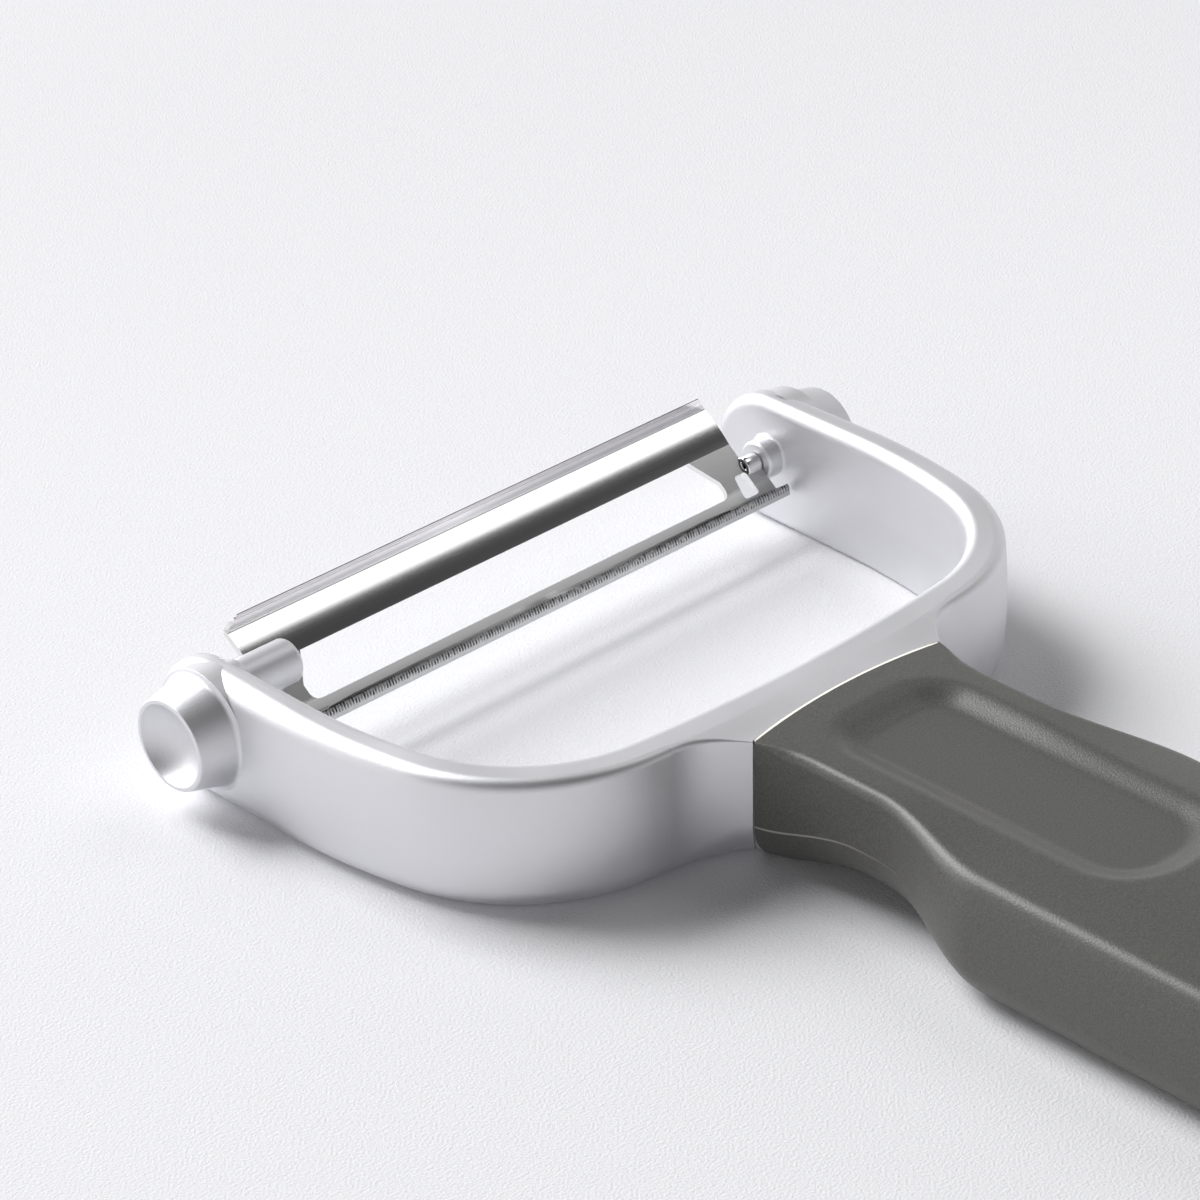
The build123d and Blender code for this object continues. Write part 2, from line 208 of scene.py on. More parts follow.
arm_inner = arm_gap / 2
arm_outer = arm_inner + band_width
floor_z = -pivot_height
top_z = frame_height - pivot_height
middle_z = (top_z + floor_z) / 2
tip_y = pivot_to_tip - frame_height / 2
turn = radians(shoulder_turn)
corner_x = arm_inner - shoulder_radius + (shoulder_radius - corner_radius) * cos(turn)
corner_y = -arm_straight - (shoulder_radius - corner_radius) * sin(turn)
brow_centre_y = corner_y + sqrt((brow_radius - corner_radius) ** 2 - corner_x**2)
brow_turn = degrees(asin(corner_x / (brow_radius - corner_radius)))
print("corner centre", round(corner_x, 2), round(corner_y, 2), "brow centre", round(brow_centre_y, 2))

# %% Band of the head


def outer_edge(edge_radius, crown_height):
    """Rounded edge and wall of the band's section, from the end of the flat top to the middle of the outer
    wall, as (outwards, up) from the inner wall's middle. The wall is an arc whose radius is
    (half height^2 + crown^2) / (2 crown), and the edge is a circle that touches the top and the arc."""
    half = frame_height / 2
    crown_height = np.asarray(crown_height, float)[..., None]
    crown = (half**2 + crown_height**2) / (2 * crown_height)
    centre_x = band_width - crown
    radius = np.asarray(edge_radius, float)[..., None]
    edge_x = centre_x + np.sqrt((crown - radius) ** 2 - (half - radius) ** 2)
    touch = np.arcsin((half - radius) / (crown - radius))
    bend = np.pi / 2 + np.linspace(0, 1, bend_steps) * (touch - np.pi / 2)
    fall = (1 - eased(wall_steps))[1:] * touch
    out = np.concatenate([edge_x + radius * np.cos(bend), centre_x + crown * np.cos(fall)], axis=-1)
    up = np.concatenate([half - radius + radius * np.sin(bend), crown * np.sin(fall)], axis=-1)
    return out, up


def half_section(edge_radius, inner_radius):
    """Upper half of the band's section, from the middle of the inner wall over its rounded edge and the flat
    top to the outer edge and the middle of the outer wall."""
    half = frame_height / 2
    outer_out, outer_up = outer_edge(edge_radius, wall_crown)
    fill = np.ones_like(outer_out[..., :1])
    inner = np.asarray(inner_radius, float)[..., None] * fill
    wall = eased(wall_steps) * (half - inner)
    quarter = np.linspace(0, np.pi / 2, wall_steps)[1:]
    flat = eased(wall_steps)[1:-1]
    out = [
        0 * wall,
        inner * (1 - np.cos(quarter)),
        inner + flat * (outer_out[..., :1] - inner),
        outer_out,
    ]
    up = [
        wall,
        half - inner + inner * np.sin(quarter),
        half * np.ones_like(flat) * fill,
        outer_up,
    ]
    return np.concatenate(out, axis=-1), np.concatenate(up, axis=-1)


def band_line():
    """Right half of the inner wall's line from the arm's tip to the middle of the brow: x, y and the angle of
    the outward direction. Each bend is centre + radius (cos a, sin a), and the arms are straight. A
    bend's row holds its centre, radius, first and last angle and number of points."""
    bends = [
        (arm_inner - shoulder_radius, -arm_straight, shoulder_radius, 0, -shoulder_turn, 24),
        (corner_x, corner_y, corner_radius, -shoulder_turn, brow_turn - 90, 60),
        (0, brow_centre_y, brow_radius, brow_turn - 90, -90, 24),
    ]
    arm = np.linspace(tip_y, -arm_straight, arm_rows, endpoint=False)
    x, y, angle = [np.full(arm_rows, arm_inner)], [arm], [np.zeros(arm_rows)]
    for centre_x, centre_y, radius, start, end, count in bends:
        a = np.radians(np.linspace(start, end, count, endpoint=end == -90))
        x.append(centre_x + radius * np.cos(a))
        y.append(centre_y + radius * np.sin(a))
        angle.append(a)
    return np.concatenate(x), np.concatenate(y), np.concatenate(angle)


def band():
    """The section carried along the line: point = line + outwards (cos a, sin a) and height along z. The
    round tip is the upper half section turned by half a circle about the arm's end."""
    x, y, angle = band_line()
    step = np.hypot(np.diff(x), np.diff(y))
    place = np.concatenate([[0], np.cumsum(step)]) / step.sum()
    lower_inner = np.interp(place, [0, lower_inner_place], [inner_edge_radius, lower_inner_radius])
    upper_out, upper_up = half_section(np.interp(place, edge_places, upper_edges), inner_edge_radius)
    lower_out, lower_up = half_section(np.interp(place, edge_places, lower_edges), lower_inner)
    out = np.hstack([upper_out, lower_out[:, -2:0:-1]])
    up = np.hstack([upper_up, -lower_up[:, -2:0:-1]])
    run = np.stack([
        x[:, None] + out * np.cos(angle)[:, None],
        y[:, None] + out * np.sin(angle)[:, None],
        middle_z + up * (1 - 2 * HAIR / frame_height),
    ], axis=-1)
    out, up = half_section(tip_edge_radius, inner_edge_radius)
    swing = np.linspace(0, np.pi, tip_rows)[:, None]
    tip = np.stack([
        np.broadcast_to(arm_inner + out, (tip_rows, len(out))),
        tip_y + up * np.sin(swing),
        middle_z + up * np.cos(swing) * (1 - 2 * HAIR / frame_height),
    ], axis=-1)
    right = together([grid(run, close_columns=True), grid(tip)])
    return [right, mirrored(right)]


# %% [markdown]
# Outside each arm a boss stands on the pivot axis: a short cone with a polished dish in its end. It is turned
# round the axis from a profile, like clay on a wheel. The foot of the profile flares out in a small arc, so
# the boss grows out of the arm as a casting does, instead of standing on it like a separate part. The small
# bosses inside the arms and the round stop on the left arm are turned the same way.

# %% Bosses and the stop
boss_base_radius = 4.5
boss_rim_radius = 3.73
boss_length = 3.15
boss_rim_width = 0.35
dish_depth = 1.85
pivot_boss_radius = 1.75
pivot_boss_length = 1.6
nub_radius = 1.8
nub_length = 5.2
nub_behind_axis = 0.42
nub_above_axis = 2.77
sunk = 2.0
# Over about this length, at the arm's wall, a foot narrows from its flare to what stands on it.
foot_step = 0.1
boss_flare = 0.45
boss_rim_rounding = 0.16
pivot_boss_flare = 0.25
pivot_boss_bevel = 0.2
pivot_boss_roundings = (0.05, 0.2, 0.1, 0.08)
nub_flare = 0.3
nub_roundings = (0.05, 0.3, 0.5)
print("width over the bosses", round(2 * (arm_outer + boss_length), 2))

# %% Boss profiles


def outer_boss():
    """Profile of the dished boss: flared foot, cone, rounded rim and a dish whose floor is part of a sphere
    of radius (lip^2 + depth^2) / (2 depth)."""
    rim = arm_outer + boss_length
    lip = boss_rim_radius - boss_rim_width
    sphere = (lip**2 + dish_depth**2) / (2 * dish_depth)
    foot_radius = boss_base_radius + boss_flare
    foot = [(arm_outer - sunk, foot_radius), (arm_outer - foot_step, foot_radius)]
    line = foot + [(arm_outer + foot_step / 2, boss_base_radius), (rim, boss_rim_radius), (rim, lip)]
    outside = rounded(line, (foot_step / 5, boss_flare, boss_rim_rounding), 9)
    spread = np.arcsin(min(lip / sphere, 1))
    bowl = np.linspace(spread, 0, 25)[1:]
    dish = np.stack([rim - dish_depth + sphere - sphere * np.cos(bowl), sphere * np.sin(bowl)], axis=-1)
    return turned(np.concatenate([outside, dish]), count=96)


def pivot_boss():
    """Profile of the small boss inside the arm: foot, side, bevelled edge and face down to the pin."""
    face = arm_inner - pivot_boss_length
    foot_radius = pivot_boss_radius + pivot_boss_flare
    line = [(arm_inner + sunk, foot_radius), (arm_inner, foot_radius),
            (arm_inner - foot_step, pivot_boss_radius), (face + pivot_boss_bevel, pivot_boss_radius),
            (face, pivot_boss_radius - pivot_boss_bevel), (face, 0)]
    return turned(rounded(line, pivot_boss_roundings), count=64)


def stop_nub():
    """Profile of the round stop that limits the blade's swing: flared foot, side and rounded end."""
    base, end = -arm_inner, nub_length - arm_inner
    foot_radius = nub_radius + nub_flare
    line = [(base - sunk, foot_radius), (base, foot_radius), (base + foot_step, nub_radius),
            (end, nub_radius), (end, 0)]
    return turned(rounded(line, nub_roundings, 9), count=64, centre=(-nub_behind_axis, nub_above_axis))


# %% [markdown]
# Behind the brow the casting narrows to a neck that runs into the handle. Its side wall is the band's own
# outer wall, which leaves the brow and bends backwards on a circle. So the neck is drawn like the band: the
# wall's section is carried along that line in plan, and a slightly crowned top and a flat bottom span from
# side to side. The end follows the curve of the joint and leaves a fine gap to the handle. A narrow strip of
# bare bright metal along the top of that edge shows as the thin light line between head and handle.

# %% Sizes of the neck
flare_radius = 7.0
flare_end = radians(34.5)
joint_bulge = 0.75
joint_top_drop = 0.25
joint_edge_radius = 0.16
bottom_radius = 0.33 * frame_height
bare_line_width = 0.12
bare_line_drop = 0.1
bare_line_reach = 9.85
bare_line_depth = 0.3
bare_line_end_share = 0.45
side_gap = 0.10
least_crown = 0.02
# The neck's first two rows lie this deep inside the brow, and its last two step in and back from the joint.
root_depths = [0.6, 0.3]
end_inset = 0.3
end_depth = 0.8
flare_rows = 31
neck_columns = 33
# Along the flare, from its start to its end, the section changes between these places.
flare_change_shares = (0.2, 0.95)
flare_x = neck_half_width + flare_radius * cos(flare_end)
flare_y = brow_centre_y - sqrt((brow_radius + band_width + flare_radius) ** 2 - flare_x**2)
joint_y = flare_y + flare_radius * sin(flare_end)
print("joint to the handle at y", round(joint_y, 2))

# %% Neck


def joint_bow(x):
    """How far the joint's face stands ahead at a distance from the middle: bulge (1 - (x / half width)^2)."""
    return joint_bulge * (1 - np.minimum(np.abs(x) / neck_half_width, 1) ** 2)


def flare_angle(ahead):
    """Angle on the flare's circle of the place that stands ahead of the joint by a distance."""
    return np.arcsin((joint_y + ahead - flare_y) / flare_radius)


def neck():
    """Rows along the flare. At the angle a of the flare's circle the wall stands at centre + radius
    (-cos a, sin a) and faces (cos a, -sin a). The first angle is where that circle touches the brow's
    wall. The first two rows lie inside the brow, and the last two close the end towards the handle. Between
    the sides a row bends from the brow's bow, which sags by x^2 / (2 radius), to the bow of the joint."""
    start = np.arccos(flare_x / (brow_radius + band_width + flare_radius))
    end = flare_angle(side_gap)
    run = np.linspace(start, end, flare_rows)
    angle = np.concatenate([[start, start], run, [end, end]])
    deeper = np.concatenate([root_depths, 0 * run, [end_inset, end_inset]])
    lower = np.concatenate([[0, 0], 0 * run, [end_inset, end_inset]])
    back = np.concatenate([[0, 0], 0 * run, [0, end_depth]])
    share = np.clip((start - angle) / (start - flare_end), 0, 1)
    change = ease(share, *flare_change_shares)
    fade = 1 - change
    crown = np.maximum(wall_crown * fade, least_crown)
    upper_out, upper_up = outer_edge(joint_edge_radius + (upper_edges[-1] - joint_edge_radius) * fade, crown)
    lower_out, lower_up = outer_edge(lower_edges[-1] + change * (bottom_radius - lower_edges[-1]), crown)
    half = frame_height / 2
    fall = change * joint_top_drop
    upper_up = upper_up * (half - fall[:, None]) / half - lower[:, None]
    out = np.hstack([upper_out, lower_out[:, -2::-1]]) - band_width - deeper[:, None]
    up = np.hstack([upper_up, -lower_up[:, -2::-1]])
    x = flare_x - flare_radius * np.cos(angle)[:, None] + out * np.cos(angle)[:, None]
    y = flare_y + flare_radius * np.sin(angle)[:, None] - out * np.sin(angle)[:, None] - back[:, None]
    z = middle_z + up
    across = np.linspace(1, -1, neck_columns)[1:-1]
    level = np.ones_like(across)
    peak = top_z - lower[:, None]
    top_z_line = z[:, :1] + (peak - z[:, :1]) * (1 - across**2)
    x = np.hstack([x, x[:, -1:] * across, -x[:, ::-1], -x[:, :1] * across])
    y = np.hstack([y, y[:, -1:] * level, y[:, ::-1], y[:, :1] * level])
    z = np.hstack([z, z[:, -1:] * level, z[:, ::-1], top_z_line])
    widest = np.abs(x).max(axis=1, keepdims=True)
    sag = (widest**2 - x**2) / (2 * (brow_radius + band_width))
    gone = (np.sin(start) - np.sin(angle[:, None])) / (np.sin(start) - np.sin(end))
    y = y + joint_bow(x) * gone - sag * (1 - gone)
    return grid(np.stack([x, y, z], axis=-1), close_columns=True)


# %% Line of bare metal


def bare_line():
    """The line of bare metal along the joint's top edge: a narrow three-sided strip across the neck whose
    upper face leans towards the handle, so that it catches the light from above. Its width falls from the
    middle to the ends by the square root of 1 - |place|^3."""
    across = np.linspace(-1, 1, 61)[:, None]
    x = bare_line_reach * across
    crown = top_z - joint_top_drop * (x / neck_half_width) ** 2
    fullness = np.sqrt(np.maximum(1 - np.abs(across) ** 3, 0))
    width = bare_line_width * (bare_line_end_share + (1 - bare_line_end_share) * fullness)
    ahead = side_gap * np.array([1.0, 0, 0]) + width * np.array([1.0, 0.0, 0.5])
    drop = np.array([0, bare_line_drop, bare_line_depth])
    y = joint_y + joint_bow(x) + ahead
    return grid(np.stack([x + 0 * y, y, crown - drop], axis=-1), close_columns=True)


# %% The two pieces of the head
head_shells = band() + [outer_boss(), mirrored(outer_boss()), pivot_boss(), mirrored(pivot_boss())]
head = finished("head_casting", head_shells + [stop_nub(), neck()], "head_and_handle",
                ["frame_casting"])
joint_edge = finished("bare_joint_edge", [bare_line()], "head_and_handle",
                      ["frame_casting"], sharp_degrees=20)

# %% [markdown]
# The blade is a strip of steel half a millimetre thick, bent along its length: an upright lip in front, an
# arched front rail, a long slot, and a rear rail that turns down over a toothed ridge. Each rail is a section
# line with its offset below, drawn along X. The flat ends between the rails hold a small window, so each is a
# ring of faces between the window's edge and the end's outline.

# %% Sizes of the blade
blade_thickness = 0.5
blade_tilt = radians(38.0)
blade_rise = 0.33
rail_end = 25.7
rail_front = 5.9
front_rail_width = 3.65
slot_width = 4.15
front_arch_rise = 0.14
rear_rail_width = 1.35
rear_rail_end = 28.4
lip_height = 1.36
lip_lean = radians(11.0)
lip_end_cut = 0.9
lip_thinning = 0.8
flange_height = 0.75
flange_lean = radians(4.0)
slot_half_length = 21.0
slot_end_bulge = 1.55
slot_corner_radius = 0.8
slot_end_share = 0.2
eye_inner = 0.5
eye_outer = 0.9
eye_length = 1.4
eye_overlap = 0.1
eye_rounding = 0.1
crease_radius = 0.15
ridge_radius = 0.58
end_plate_rear = -2.9
end_plate_front = -0.7
slot_front_rounding = 0.3
# Past the slot's straight part the rear rail and the end plate meet this far out.
rail_overlap = 0.75
# The window in the end plate as (x, along the strip), and a point inside it.
window_corners = [(24.6, -2.6), (25.4, -2.6), (25.4, -0.45), (24.1, -0.45), (23.7, -2.6), (24.6, -2.6)]
window_rounding = 0.3
window_middle = (24.6, -1.5)
slot_front_along = rail_front - front_rail_width
slot_rear_along = slot_front_along - slot_width
ridge_along = slot_rear_along - rear_rail_width
tooth_count = 196
tooth_pitch = 2 * rear_rail_end / tooth_count
tooth_depth = 0.13
tooth_reach = 0.34
tooth_sharpness = 1.5
tooth_run_out = 4.0
tooth_fade = 0.5
columns_per_tooth = 6
# Lines ground in the lip: each row is a place down it, as a share of its height, and the depth there.
ground_lines = np.array([(0.0, 0), (0.09, 0), (0.11, 0.035), (0.13, 0), (0.24, 0), (0.26, 0.035), (0.28, 0),
                         (0.45, 0), (0.65, 0), (0.8, 0)])
print("blade", round(2 * (rail_end + eye_length), 2), "long, a tooth every", round(tooth_pitch, 3))

# %% Bent strips


def blade_point(along, above):
    """(y, z) of a place along the tilted strip and above its middle: a turn by the tilt."""
    along, above = np.asarray(along, float), np.asarray(above, float)
    y = along * cos(blade_tilt) - above * sin(blade_tilt)
    z = along * sin(blade_tilt) + above * cos(blade_tilt)
    return np.stack([y, z], axis=-1)


def under(line):
    """The line moved by the strip's thickness to its left: for a step (dy, dz) the left is (-dz, dy)."""
    step = np.gradient(line, axis=0)
    step[1:-1] = 0
    ahead = np.diff(line, axis=0)
    ahead = ahead / np.linalg.norm(ahead, axis=1)[:, None]
    step[0], step[-1] = ahead[0], ahead[-1]
    step[1:-1] = ahead[1:] + ahead[:-1]
    step = step / np.linalg.norm(step, axis=1)[:, None]
    return line + blade_thickness * np.stack([-step[:, 1], step[:, 0]], axis=-1)


def rail(upper, reach, columns, sink=None, thickness_share=1.0):
    """A bent strip: every point of the section line and of its offset is drawn along x from -reach to reach,
    and both ends are closed. A sink pushes the upper points towards the lower ones by a depth that depends
    on x."""
    lower = upper + (under(upper) - upper) * thickness_share
    x = np.linspace(-1, 1, columns)[:, None] * reach
    top = np.concatenate([x[..., None], np.broadcast_to(upper, (columns,) + upper.shape)], axis=-1)
    if sink is not None:
        inward = (under(upper) - upper) / blade_thickness
        top[..., 1:] += sink(x)[..., None] * inward
    bottom = np.concatenate([x[..., None], np.broadcast_to(lower, (columns,) + lower.shape)], axis=-1)
    loop = np.concatenate([top, bottom[:, ::-1]], axis=1)
    ends = [grid(np.stack([top[k], bottom[k]])) for k in (0, -1)]
    return together([grid(loop, close_columns=True)] + ends)


# %% Front and rear rail
arch_steps = 25
# The rounded crease takes the place of the arch's first points, up to this one.
crease_end = 3
# Places across the flat web, as shares of its width, and the point of the bend where the teeth are deepest.
web_shares = np.array([0, 0.1, 0.4, 0.7, 0.97])
tooth_row = 5


def front_rail():
    """Lip, crease and arch. Along a share of its width the arch rises by rise (1 - (2 share - 1)^2)."""
    crease = blade_point(rail_front, blade_rise)
    lip_top = crease + lip_height * np.array([-sin(lip_lean), cos(lip_lean)])
    share = np.linspace(0, 1, arch_steps)
    bow = front_arch_rise * (1 - (2 * share - 1) ** 2)
    arch = blade_point(rail_front - front_rail_width * share, blade_rise + bow)
    bend = rounded([lip_top, crease, arch[crease_end]], (crease_radius,), 6)
    down, inward = crease - lip_top, np.array([cos(lip_lean), sin(lip_lean)])
    lip = lip_top + ground_lines[:, :1] * down + ground_lines[:, 1:] * inward
    upper = np.concatenate([lip, bend[1:-1], arch[crease_end:]])
    height = np.clip((upper - crease) @ np.array([-sin(lip_lean), cos(lip_lean)]) / lip_height, 0, 1)
    height = np.where(np.arange(len(upper)) < len(lip) + 1, height, 0)
    thinned = 1 - lip_thinning * ease(height, 0.1, 1.0)[:, None]
    return rail(upper, rail_end - lip_end_cut * height, columns=41, thickness_share=thinned)


def rear_rail():
    """Flat web, toothed bend and flange. The teeth are powers of a cos wave along x, and their depth falls by
    1 - (distance / reach)^2 on both sides of the bend's shoulder."""
    start = blade_point(slot_rear_along, blade_rise)
    ridge = blade_point(ridge_along, blade_rise)
    drop = ridge - flange_height * np.array([sin(flange_lean), cos(flange_lean)])
    line = rounded([start, ridge, drop], (ridge_radius,), bend_steps)
    web = start + web_shares[:, None] * (line[1] - start)
    upper = np.concatenate([web, line[1:]])
    along = (upper - start) @ np.array([cos(blade_tilt), sin(blade_tilt)])
    reach = np.where(slot_rear_along + along > end_plate_rear, slot_half_length + rail_overlap, rear_rail_end)
    length = np.concatenate([[0], np.cumsum(np.linalg.norm(np.diff(upper, axis=0), axis=1))])
    middle = length[len(web) + tooth_row]
    depth_share = np.clip(1 - ((length - middle) / tooth_reach) ** 2, 0, 1)

    def teeth(x):
        wave = (0.5 - 0.5 * np.cos(2 * np.pi * x / tooth_pitch)) ** tooth_sharpness
        inside = np.clip(slot_half_length + tooth_run_out - np.abs(x), 0, tooth_fade) / tooth_fade
        return tooth_depth * wave * depth_share * inside

    return rail(upper, reach, columns_per_tooth * tooth_count + 1, teeth)


# %% End plates and eyes
# Rings of the end plate between the window and the outline, as shares of the way out.
ring_shares = np.array([0, 0.08, 0.5, 0.95, 1])
# Two directions whose cross product is below the first of these are parallel, and the second is the slack in
# deciding whether a ray meets an edge.
parallel = 1e-12
slack = 1e-9


def outline_reach(polygon, centre, angles):
    """Distance from a centre to a closed outline in each direction: for every edge the ray's crossing, and
    the nearest of those that lie on the edge."""
    a = polygon - centre
    b = np.roll(a, -1, axis=0) - a
    d = np.stack([np.cos(angles), np.sin(angles)], axis=-1)[:, None]
    cross = d[..., 0] * b[:, 1] - d[..., 1] * b[:, 0]
    cross = np.where(np.abs(cross) < parallel, parallel, cross)
    far = (a[:, 0] * b[:, 1] - a[:, 1] * b[:, 0]) / cross
    share = (a[:, 0] * d[..., 1] - a[:, 1] * d[..., 0]) / cross
    good = (far > 0) & (share > -slack) & (share < 1 + slack)
    return np.where(good, far, np.inf).min(axis=1)


def end_plate():
    """Flat end of the blade: rings from the window's outline to the plate's outline, above and below."""
    slot_x, slot_mid = slot_half_length + slot_end_bulge, slot_end_share * slot_rear_along
    meeting_x, end_x = slot_half_length + rail_overlap, rail_end + eye_length
    corners = [(slot_half_length, slot_front_along), (slot_x, slot_mid), (slot_x, slot_rear_along),
               (meeting_x, slot_rear_along)]
    # The last arc stops a hair short of the corner after it, so that no two points fall together.
    outline = rounded(corners, (slot_front_rounding, slot_corner_radius - 0.001))
    rest = [(meeting_x, end_plate_rear), (end_x, end_plate_rear), (end_x, end_plate_front),
            (rail_end, end_plate_front), (rail_end, slot_front_along)]
    outline = np.concatenate([outline, rest])
    hole = rounded(window_corners, (window_rounding,) * 4)[:-1]
    centre = np.array(window_middle)
    all_points = np.concatenate([outline, hole]) - centre
    angles = np.unique(np.round(np.arctan2(all_points[:, 1], all_points[:, 0]), 5))
    near, far = outline_reach(hole, centre, angles), outline_reach(outline, centre, angles)
    d = np.stack([np.cos(angles), np.sin(angles)], axis=-1)
    share = ring_shares[:, None, None]
    flat = centre + d * (near[:, None] + share * (far - near)[:, None])
    top = np.concatenate([flat[..., :1], blade_point(flat[..., 1], blade_rise)], axis=-1)
    low = np.concatenate([flat[..., :1], blade_point(flat[..., 1], blade_rise - blade_thickness)], axis=-1)
    return grid(np.concatenate([top, low[::-1]]), close_rows=True, close_columns=True)


def eye():
    """Rolled eye: a tube round the pivot axis with slightly rounded ends."""
    start, end = rail_end - eye_overlap, rail_end + eye_length
    line = [(end, eye_inner), (end, eye_outer), (start, eye_outer), (start, eye_inner), (end, eye_inner)]
    return turned(rounded(line, (eye_rounding,) * 3)[:-1], count=48)


# %% The blade's piece
blade_shells = [front_rail(), rear_rail(), end_plate(), mirrored(end_plate()), eye(), mirrored(eye())]
blade = finished("swivel_blade", blade_shells, "blade", ["peeling_blade"], sharp_degrees=30)

# %% [markdown]
# Two short steel pins carry the blade. They are pressed in the small bosses and their bevelled ends show
# inside the blade's eyes.

# %% Pins
pin_radius = 0.45
pin_seat = 4.0
pin_reach = 1.4
pin_bevel = 0.12
pin_rounding = 0.05


def pin():
    """Profile of a pin: centre, bevel, side, bevel, centre."""
    inner = arm_inner - pivot_boss_length - pin_reach
    outer = arm_inner - pivot_boss_length + pin_seat
    line = [(inner, 0), (inner, pin_radius - pin_bevel), (inner + pin_bevel, pin_radius),
            (outer - pin_bevel, pin_radius), (outer, pin_radius - pin_bevel), (outer, 0)]
    return turned(rounded(line, (pin_rounding,) * 4, 4), count=32)


pin_right = finished("steel_pin_right", [pin()], "head_and_handle", ["pivot_pin_right"])
pin_left = finished("steel_pin_left", [mirrored(pin())], "head_and_handle", ["pivot_pin_left"])

# %% [markdown]
# The grip is soft dark plastic over a hard core. Its section changes along the handle: sharp edged where it
# meets the metal neck, then wider and rounder, with a scalloped underside, and it ends in a half circle. The
# thumb hollow is pressed into the top. One section formula with parameters that ease from value to value
# gives the whole run, and the end is the last section turned about an upright axis.

# %% Sizes of the grip
overall_length = 155.0
grip_half_width = 12.9
grip_waist = 0.75
grip_swell = 1.7
grip_side_bulge = 0.85
grip_side_flat = 0.03
grip_ridge_drop = 0.8
grip_ridge_radius = 1.6
grip_joint_ridge_radius = 0.15
grip_ridge_growth = 0.7
grip_scallop = 0.174 * frame_height
handle_end_y = pivot_to_tip - overall_length
handle_length = joint_y - handle_end_y
end_centre_y = handle_end_y + grip_half_width
end_centre_share = (joint_y - end_centre_y) / handle_length
grip_end_growth = grip_half_width - neck_half_width - grip_side_flat - grip_swell - grip_side_bulge
# Where along the handle each change of the section starts and ends, as shares of the handle's length.
swell_shares = (0.1, 0.205)
waist_shares = (-0.04, 0.05)
scallop_in_shares = (0.0, 0.085)
scallop_out_shares = (0.13, 0.215)
joint_ridge_shares = (0.0, 0.03)
top_steps = 45
side_steps = 17
print("handle behind the joint", round(handle_length, 2), "round end from", round(end_centre_share, 3))

# %% Section of the grip


def meeting(first, first_reach, second, second_reach):
    """The upper right crossing of two circles: the point at both distances from the two centres."""
    gap = second - first
    length = np.hypot(gap[0], gap[1])
    along = (first_reach**2 - second_reach**2 + length**2) / (2 * length)
    beside = np.sqrt(np.maximum(first_reach**2 - along**2, 0))
    unit = gap / length
    one = first + along * unit + beside * np.array([-unit[1], unit[0]])
    other = first + along * unit - beside * np.array([-unit[1], unit[0]])
    return np.where(one[0] > other[0], one, other)


def right_outline(place):
    """Right half of the grip's section at shares of the handle's length, from the middle of the top to the
    middle of the bottom. Top and side are arcs of circles, and each edge is a circle that touches both
    neighbours."""
    swell = ease(place, *swell_shares)
    already = ease(0, *waist_shares)
    waist = (ease(place, *waist_shares) - already) / (1 - already) - swell
    scallop = ease(place, *scallop_in_shares) - ease(place, *scallop_out_shares)
    taper = np.clip((place - swell_shares[1]) / (end_centre_share - swell_shares[1]), 0, 1)
    widest = neck_half_width + grip_side_flat - grip_waist * waist
    widest = widest + (grip_swell + grip_side_bulge) * swell + grip_end_growth * taper
    bulge = grip_side_flat + grip_side_bulge * swell
    ridge = widest - bulge
    ridge_z = top_z - joint_top_drop - grip_ridge_drop * swell
    bottom = floor_z + grip_scallop * scallop
    top_reach = (ridge**2 + (top_z - ridge_z) ** 2) / (2 * (top_z - ridge_z))
    side_half = (ridge_z - bottom) / 2
    side_reach = (side_half**2 + bulge**2) / (2 * bulge)
    top_centre = np.stack([0 * place, top_z - top_reach])
    side_centre = np.stack([widest - side_reach, (ridge_z + bottom) / 2])
    soft = grip_joint_ridge_radius + grip_ridge_growth * ease(place, *joint_ridge_shares)
    edge = soft + (grip_ridge_radius - soft) * swell
    edge_centre = meeting(top_centre, top_reach - edge, side_centre, side_reach - edge)
    low_centre_z = bottom + bottom_radius
    low_centre_x = side_centre[0] + np.sqrt((side_reach - bottom_radius) ** 2
                                            - (low_centre_z - side_centre[1]) ** 2)
    edge_start = np.arctan2(edge_centre[1] - top_centre[1], edge_centre[0] - top_centre[0])
    edge_end = np.arctan2(edge_centre[1] - side_centre[1], edge_centre[0] - side_centre[0])
    low_start = np.arctan2(low_centre_z - side_centre[1], low_centre_x - side_centre[0])
    share = np.linspace(0, 1, top_steps)
    top = np.pi / 2 + share * (edge_start - np.pi / 2)[:, None]
    bend = edge_start[:, None] + np.linspace(0, 1, bend_steps)[1:] * (edge_end - edge_start)[:, None]
    side = edge_end[:, None] + eased(side_steps)[1:] * (low_start - edge_end)[:, None]
    low = low_start[:, None] + np.linspace(0, 1, side_steps)[1:] * (-np.pi / 2 - low_start)[:, None]
    base = 1 - eased(wall_steps)[1:]
    x = [
        top_reach[:, None] * np.cos(top),
        edge_centre[0][:, None] + edge[:, None] * np.cos(bend),
        side_centre[0][:, None] + side_reach[:, None] * np.cos(side),
        low_centre_x[:, None] + bottom_radius * np.cos(low),
        low_centre_x[:, None] * base,
    ]
    z = [
        top_centre[1][:, None] + top_reach[:, None] * np.sin(top),
        edge_centre[1][:, None] + edge[:, None] * np.sin(bend),
        side_centre[1][:, None] + side_reach[:, None] * np.sin(side),
        low_centre_z[:, None] + bottom_radius * np.sin(low),
        bottom[:, None] + 0 * base,
    ]
    return np.concatenate(x, axis=1), np.concatenate(z, axis=1)


# %% Thumb hollow
recess_half_width = 6.3
recess_start = 2.5
recess_length = 30.0
recess_depth = 1.05
recess_front_radius = 4.0
recess_rear_radius = 5.5
